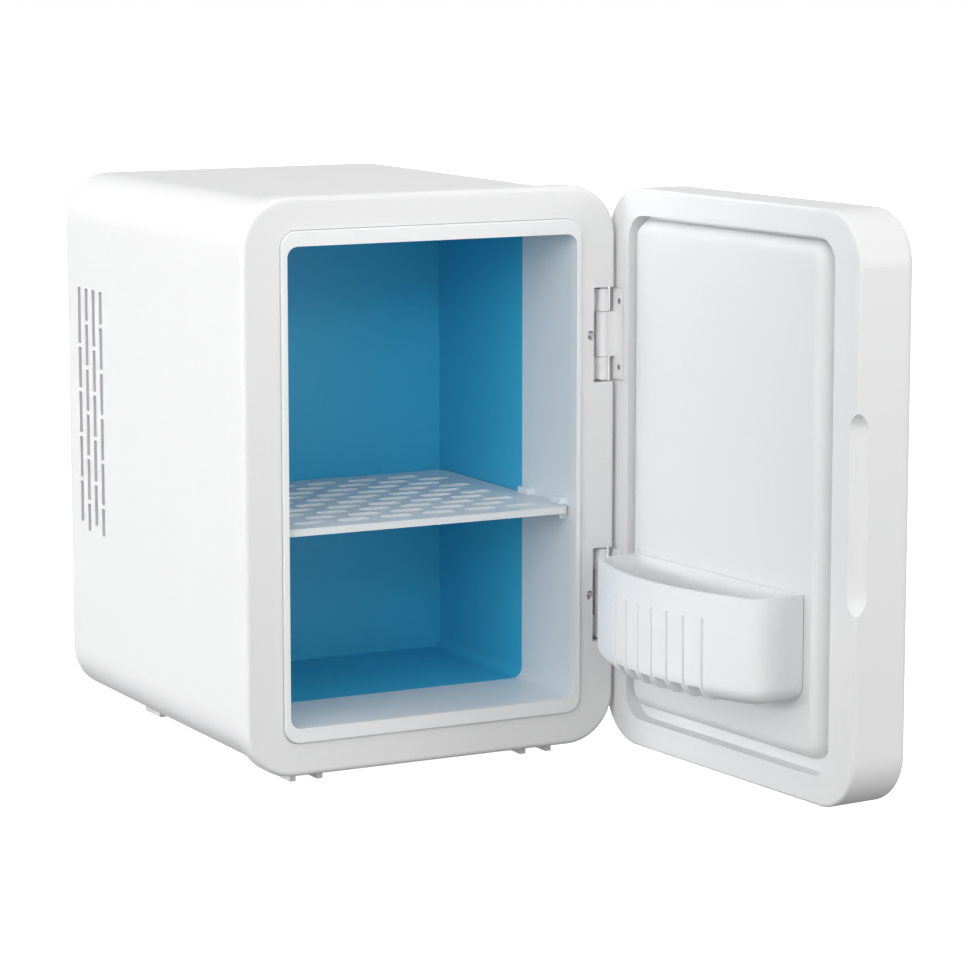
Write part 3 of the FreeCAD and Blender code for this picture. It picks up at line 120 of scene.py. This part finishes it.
def make_world():
    """A surround that looks plain white to the camera and lights the object most from above, less
    from around and hardly at all from below.
    """
    world = bpy.data.worlds.new("studio")
    world.use_nodes = True
    tree = world.node_tree
    background = tree.nodes["Background"]
    direction = tree.nodes.new("ShaderNodeTexCoord")
    split = tree.nodes.new("ShaderNodeSeparateXYZ")
    tree.links.new(direction.outputs["Generated"], split.inputs["Vector"])
    glow = tree.nodes.new("ShaderNodeValToRGB")
    lift = tree.nodes.new("ShaderNodeMapRange")
    lift.inputs["From Min"].default_value = -1.0
    tree.links.new(split.outputs["Z"], lift.inputs["Value"])
    tree.links.new(lift.outputs["Result"], glow.inputs["Fac"])
    first, last = glow.color_ramp.elements
    first.position, first.color = 0.0, (WORLD_BELOW,) * 3 + (1,)
    last.position, last.color = 1.0, (WORLD_ABOVE,) * 3 + (1,)
    level = glow.color_ramp.elements.new(0.5)
    level.color = (WORLD_LEVEL,) * 3 + (1,)
    seen = tree.nodes.new("ShaderNodeMix")
    seen.data_type = "RGBA"
    seen.inputs[MIX_SECOND].default_value = WHITE
    path = tree.nodes.new("ShaderNodeLightPath")
    tree.links.new(path.outputs["Is Camera Ray"], seen.inputs[0])
    tree.links.new(glow.outputs["Color"], seen.inputs[MIX_FIRST])
    tree.links.new(seen.outputs[MIX_RESULT], background.inputs["Color"])
    bpy.context.scene.world = world
    bpy.context.scene.view_settings.view_transform = "Standard"


def make_lights():
    """The softboxes, placed round the middle of the cabinet."""
    shell_low, shell_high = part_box("cabinet_shell")
    middle = (shell_low + shell_high) / 2
    for name, offset, aim, side, spread_angle, power in SOFTBOXES:
        add_softbox(name, middle + Vector(offset), middle + Vector(aim), side, spread_angle, power)


# ---------------------------------------------------------------- materials

def new_material(name):
    """A node material and its Principled shader."""
    material = bpy.data.materials.new(name)
    material.use_nodes = True
    return material, material.node_tree.nodes["Principled BSDF"]


def add_node(material, kind, **settings):
    """A shader node, with some of its inputs set."""
    node = material.node_tree.nodes.new(kind)
    for name, value in settings.items():
        node.inputs[name.replace("_", " ")].default_value = value
    return node


def link(material, output, target):
    """Join two sockets."""
    material.node_tree.links.new(output, target)


def noise(material, scale, detail=3.0, roughness=0.5):
    """Noise over the object's own coordinates."""
    place = add_node(material, "ShaderNodeTexCoord")
    texture = add_node(material, "ShaderNodeTexNoise", Scale=scale, Detail=detail,
                       Roughness=roughness)
    link(material, place.outputs["Object"], texture.inputs["Vector"])
    return texture.outputs["Fac"]


def spread(material, factor, low, high):
    """Map a 0 to 1 factor onto a range."""
    ramp = material.node_tree.nodes.new("ShaderNodeMapRange")
    ramp.inputs["From Min"].default_value = 0.3
    ramp.inputs["From Max"].default_value = 0.7
    ramp.inputs["To Min"].default_value = low
    ramp.inputs["To Max"].default_value = high
    link(material, factor, ramp.inputs["Value"])
    return ramp.outputs["Result"]


def tint_between(material, factor, first, second):
    """A colour that runs between two by a factor."""
    mix = material.node_tree.nodes.new("ShaderNodeMix")
    mix.data_type = "RGBA"
    mix.inputs[MIX_FIRST].default_value = (*first, 1)
    mix.inputs[MIX_SECOND].default_value = (*second, 1)
    link(material, factor, mix.inputs[0])
    return mix.outputs[MIX_RESULT]


def add_bump(material, shader, factor, distance, strength):
    """Bump from a factor."""
    bump = add_node(material, "ShaderNodeBump", Strength=strength, Distance=distance)
    link(material, factor, bump.inputs["Height"])
    link(material, bump.outputs["Normal"], shader.inputs["Normal"])


def plain_plastic(name, gloss, grain=900.0, depth=0.00002):
    """Injection-moulded plastic with no colour yet: a fine moulded grain and uneven gloss."""
    material, shader = new_material(name)
    link(material, spread(material, noise(material, 60.0, 5.0), gloss - 0.03, gloss + 0.03),
         shader.inputs["Roughness"])
    add_bump(material, shader, noise(material, grain, 2.0), depth, 0.35)
    shader.inputs["IOR"].default_value = 1.49
    return material, shader


def moulded_plastic(name, colour, gloss, grain=900.0, depth=0.00002, clouding=0.012):
    """Coloured plastic with the faint clouding of a moulding."""
    material, shader = plain_plastic(name, gloss, grain, depth)
    dark = [max(c - clouding, 0) for c in colour]
    light = [min(c + clouding, 1) for c in colour]
    cloud = noise(material, 9.0, 4.0)
    link(material, tint_between(material, cloud, dark, light), shader.inputs["Base Color"])
    return material


def metal(name, colour, roughness, streak=(1.0, 1.0, 1.0)):
    """Metal with fine streaks drawn out along an axis."""
    material, shader = new_material(name)
    place = add_node(material, "ShaderNodeTexCoord")
    stretch = material.node_tree.nodes.new("ShaderNodeMapping")
    stretch.inputs["Scale"].default_value = streak
    texture = add_node(material, "ShaderNodeTexNoise", Scale=400.0, Detail=4.0)
    link(material, place.outputs["Object"], stretch.inputs["Vector"])
    link(material, stretch.outputs["Vector"], texture.inputs["Vector"])
    factor = texture.outputs["Fac"]
    dark = [c * 0.86 for c in colour]
    link(material, tint_between(material, factor, dark, colour), shader.inputs["Base Color"])
    link(material, spread(material, factor, roughness * 0.8, roughness * 1.25),
         shader.inputs["Roughness"])
    add_bump(material, shader, factor, 0.00002, 0.2)
    shader.inputs["Metallic"].default_value = 1.0
    return material


def foam(name, colour):
    """Expanded foam: packed round cells."""
    material, shader = new_material(name)
    place = add_node(material, "ShaderNodeTexCoord")
    cells = add_node(material, "ShaderNodeTexVoronoi", Scale=380.0)
    link(material, place.outputs["Object"], cells.inputs["Vector"])
    factor = cells.outputs["Distance"]
    dark = [c * 0.85 for c in colour]
    link(material, tint_between(material, factor, colour, dark), shader.inputs["Base Color"])
    add_bump(material, shader, factor, 0.0004, 0.6)
    shader.inputs["Roughness"].default_value = 0.85
    return material


def circuit_board(name):
    """Green solder mask over fine copper traces."""
    material, shader = new_material(name)
    place = add_node(material, "ShaderNodeTexCoord")
    traces = add_node(material, "ShaderNodeTexBrick", Scale=90.0)
    traces.inputs["Color1"].default_value = (0.02, 0.16, 0.07, 1)
    traces.inputs["Color2"].default_value = (0.03, 0.20, 0.09, 1)
    traces.inputs["Mortar"].default_value = (0.10, 0.32, 0.13, 1)
    traces.inputs["Mortar Size"].default_value = 0.03
    link(material, place.outputs["Object"], traces.inputs["Vector"])
    link(material, traces.outputs["Color"], shader.inputs["Base Color"])
    add_bump(material, shader, traces.outputs["Fac"], 0.00005, 0.5)
    shader.inputs["Roughness"].default_value = 0.35
    return material


def liner_plastic(name):
    """The liner's plastic: white at the rim, and an icy pale blue inside the opening."""
    material, shader = plain_plastic(name, 0.36)
    place = add_node(material, "ShaderNodeTexCoord")
    split = material.node_tree.nodes.new("ShaderNodeSeparateXYZ")
    link(material, place.outputs["Object"], split.inputs["Vector"])
    depth = material.node_tree.nodes.new("ShaderNodeMapRange")
    depth.interpolation_type = "SMOOTHSTEP"
    depth.inputs["From Min"].default_value = FRONT_LOW.y
    depth.inputs["From Max"].default_value = FRONT_LOW.y + LINER_TURN
    link(material, split.outputs["Y"], depth.inputs["Value"])
    tint = tint_between(material, depth.outputs["Result"], LINER_RIM, LINER_INSIDE)
    link(material, tint, shader.inputs["Base Color"])
    return material


def make_materials():
    """One material for each of the record's material slots."""
    return {
        "white_shell": moulded_plastic("white_shell", CASE_WHITE, 0.38),
        "white_frame": moulded_plastic("white_frame", (0.835, 0.835, 0.837), 0.38),
        "liner_plastic": liner_plastic("liner_plastic"),
        "cold_box_blue": moulded_plastic("cold_box_blue", (0.058, 0.50, 0.765), 0.42),
        "foam": foam("foam", (0.86, 0.85, 0.78)),
        "bare_aluminium": metal("bare_aluminium", (0.80, 0.81, 0.82), 0.32, (1, 12, 1)),
        "ceramic": moulded_plastic("ceramic", (0.86, 0.86, 0.83), 0.55),
        "steel": metal("steel", (0.62, 0.62, 0.64), 0.33),
        "black_plastic": moulded_plastic("black_plastic", (0.022, 0.022, 0.025), 0.45,
                                         grain=1400.0, depth=0.00006, clouding=0.004),
        "circuit_board": circuit_board("circuit_board"),
        "rear_plastic": moulded_plastic("rear_plastic", (0.76, 0.76, 0.77), 0.48,
                                        grain=1500.0, depth=0.00008),
        "shelf_white": moulded_plastic("shelf_white", (0.78, 0.82, 0.84), 0.38),
        "door_shell": moulded_plastic("door_shell", CASE_WHITE, 0.38),
        "door_panel": moulded_plastic("door_panel", (0.83, 0.83, 0.835), 0.38),
        "door_plug": moulded_plastic("door_plug", (0.79, 0.792, 0.795), 0.40),
        "basket_white": moulded_plastic("basket_white", (0.85, 0.86, 0.865), 0.37),
        "magnet": metal("magnet", (0.10, 0.10, 0.11), 0.5),
        "hinge_white": moulded_plastic("hinge_white", (0.86, 0.86, 0.862), 0.38),
        "foot_white": moulded_plastic("foot_white", (0.76, 0.76, 0.77), 0.5),
    }


def dress_cad_nodes(materials):
    """Give every CAD node its slot's material."""
    for part in frame["record"]["subparts"]:
        node = NODES[part["node"]]
        node.data.materials.clear()
        node.data.materials.append(materials[part["material_slot"]])


make_camera()
make_floor()
make_world()
make_lights()
dress_cad_nodes(make_materials())
